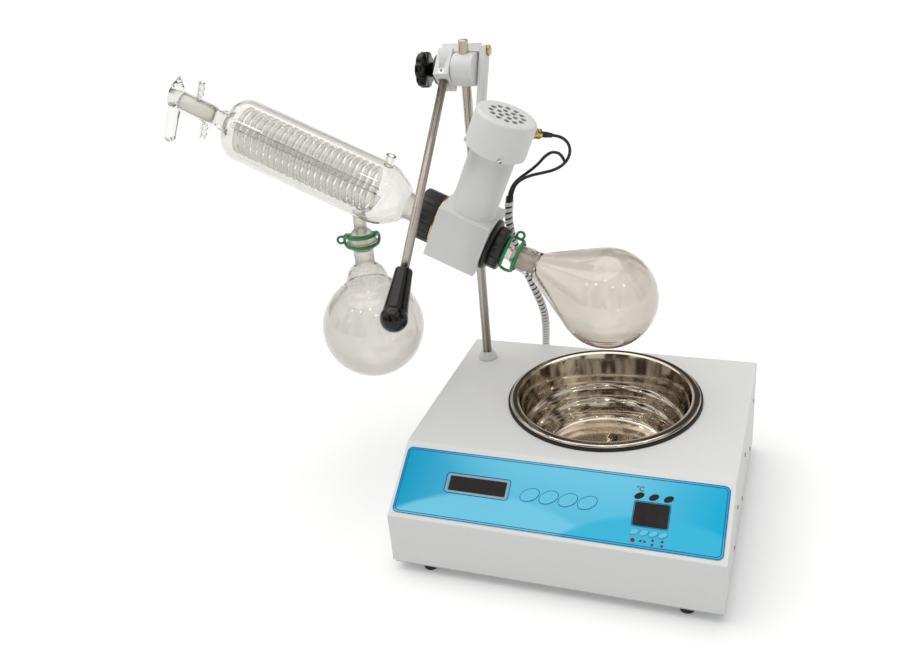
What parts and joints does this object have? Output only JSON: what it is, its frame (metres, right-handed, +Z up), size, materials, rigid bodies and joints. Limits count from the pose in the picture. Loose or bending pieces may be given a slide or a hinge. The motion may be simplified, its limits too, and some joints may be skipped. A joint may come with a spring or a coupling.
{
  "type": "rotary evaporator",
  "caption": "Benchtop rotary evaporator with a heating bath, a column-mounted swing head, a coil condenser and round flasks",
  "frame": {"origin": "centre of the bounding box's footprint, on the bench under the feet", "axes": "+X runs along the base's front to the right, from the condenser's end to the flask's end; +Y runs to the back; +Z is up"},
  "size_m": [0.7968, 0.4245, 0.595],
  "materials": {
    "white_paint": "satin powder coat",
    "zinc_plate": "zinc plated",
    "brass": "turned, lacquered",
    "black_rubber": "matte",
    "panel_film": "printed film",
    "window_film": "smoked",
    "key_film": "embossed film",
    "board": "solder resist",
    "stainless": "bright drawn",
    "black_plastic": "moulded, glossy",
    "glass": "clear borosilicate",
    "clip_green": "moulded acetal",
    "cable_black": "satin sheath",
    "wrap_white": "spiral wrap"
  },
  "bodies": {
    "base": {"base_shell": "white_paint", "bottom_plate": "zinc_plate", "side_covers": "white_paint", "side_screws": "brass", "control_panel": "panel_film", "panel_windows": "window_film", "circuit_boards": "board", "bath_bowl": "stainless", "bath_gasket": "black_rubber", "heating_element": "stainless", "power_inlet": "black_plastic", "base_gland": "black_plastic", "column": "stainless", "column_collar": "white_paint", "feet": "black_rubber", "harness": "wrap_white"},
    "clamp": {"clamp_boss": "white_paint", "height_screw": "stainless"},
    "yoke": {"yoke_block": "white_paint", "lever_rod": "stainless", "lever_grip": "black_plastic", "lever_set_screw": "brass", "arm": "white_paint", "arm_bolt": "brass", "knob_washer": "black_plastic", "gear_housing": "white_paint", "housing_cover": "white_paint", "head_screws": "brass", "shaft_bearings": "stainless", "motor_tube": "white_paint", "motor_cap": "white_paint", "motor_body": "stainless", "cable_gland": "brass", "vacuum_seal": "black_rubber", "nut_ring": "brass", "condenser_nut": "black_plastic", "condenser_jacket": "glass", "condenser_coil": "glass", "motor_cable": "cable_black"},
    "rotor": {"drive_shaft": "black_plastic", "ring_gear": "stainless", "drive_nut": "black_plastic", "vapour_tube": "glass", "evaporating_flask": "glass", "flask_clip": "clip_green"},
    "motor": {"motor_shaft": "stainless", "cooling_fan": "black_plastic"},
    "knob": {"swing_knob": "black_plastic"},
    "stopcock": {"stopcock_key": "glass"},
    "receiver": {"receiving_flask": "glass", "receiver_clip": "clip_green"},
    "rocker": {"power_rocker": "black_plastic"},
    "drive_key_1_body": {"drive_key_1": "key_film"},
    "drive_key_2_body": {"drive_key_2": "key_film"},
    "drive_key_3_body": {"drive_key_3": "key_film"},
    "drive_key_4_body": {"drive_key_4": "key_film"},
    "heater_key_1_body": {"heater_key_1": "key_film"},
    "heater_key_2_body": {"heater_key_2": "key_film"},
    "heater_key_3_body": {"heater_key_3": "key_film"},
    "heater_key_4_body": {"heater_key_4": "key_film"}
  },
  "joints": [
    {"name": "column_slide", "type": "slide", "parent": "base", "child": "clamp", "axis": [0, 0, 1], "range_m": [-0.11, 0.01], "deforming": ["harness"]},
    {"name": "arm_swing", "type": "hinge", "parent": "clamp", "child": "yoke", "pos_m": [-0.00947, 0.1244, 0.5575], "axis": [-1, 0, 0], "range_deg": [-5, 30]},
    {"name": "flask_spin", "type": "hinge", "parent": "yoke", "child": "rotor", "pos_m": [0.03213, 0.0525, 0.3641], "axis": [0.9164, 0, -0.4003], "continuous": true},
    {"name": "motor_spin", "type": "hinge", "parent": "yoke", "child": "motor", "pos_m": [0.03213, 0.0525, 0.3641], "axis": [0.4003, 0, 0.9164], "continuous": true},
    {"name": "knob_turn", "type": "hinge", "parent": "clamp", "child": "knob", "pos_m": [-0.00947, 0.1244, 0.5575], "axis": [1, 0, 0], "continuous": true},
    {"name": "stopcock_turn", "type": "hinge", "parent": "yoke", "child": "stopcock", "pos_m": [-0.35824, 0.0525, 0.53465], "axis": [0.9164, 0, -0.4003], "continuous": true},
    {"name": "receiver_swing", "type": "hinge", "parent": "yoke", "child": "receiver", "pos_m": [-0.11697, 0.0525, 0.3466], "axis": [0, 1, 0], "range_deg": [-5, 5]},
    {"name": "rocker_tip", "type": "hinge", "parent": "base", "child": "rocker", "pos_m": [0.28053, 0.17, 0.059], "axis": [1, 0, 0], "range_deg": [-20, 0]},
    {"name": "drive_key_1_press", "type": "slide", "parent": "base", "child": "drive_key_1_body", "axis": [0, 0.5502, -0.8351], "range_m": [0, 0.00045], "stiffness_N_per_m": 800, "springref_m": -0.0005},
    {"name": "drive_key_2_press", "type": "slide", "parent": "base", "child": "drive_key_2_body", "axis": [0, 0.5502, -0.8351], "range_m": [0, 0.00045], "stiffness_N_per_m": 800, "springref_m": -0.0005},
    {"name": "drive_key_3_press", "type": "slide", "parent": "base", "child": "drive_key_3_body", "axis": [0, 0.5502, -0.8351], "range_m": [0, 0.00045], "stiffness_N_per_m": 800, "springref_m": -0.0005},
    {"name": "drive_key_4_press", "type": "slide", "parent": "base", "child": "drive_key_4_body", "axis": [0, 0.5502, -0.8351], "range_m": [0, 0.00045], "stiffness_N_per_m": 800, "springref_m": -0.0005},
    {"name": "heater_key_1_press", "type": "slide", "parent": "base", "child": "heater_key_1_body", "axis": [0, 0.5502, -0.8351], "range_m": [0, 0.00045], "stiffness_N_per_m": 800, "springref_m": -0.0005},
    {"name": "heater_key_2_press", "type": "slide", "parent": "base", "child": "heater_key_2_body", "axis": [0, 0.5502, -0.8351], "range_m": [0, 0.00045], "stiffness_N_per_m": 800, "springref_m": -0.0005},
    {"name": "heater_key_3_press", "type": "slide", "parent": "base", "child": "heater_key_3_body", "axis": [0, 0.5502, -0.8351], "range_m": [0, 0.00045], "stiffness_N_per_m": 800, "springref_m": -0.0005},
    {"name": "heater_key_4_press", "type": "slide", "parent": "base", "child": "heater_key_4_body", "axis": [0, 0.5502, -0.8351], "range_m": [0, 0.00045], "stiffness_N_per_m": 800, "springref_m": -0.0005}
  ],
  "couplings": [
    {"joint": "motor_spin", "follows": "flask_spin", "ratio": -2}
  ]
}
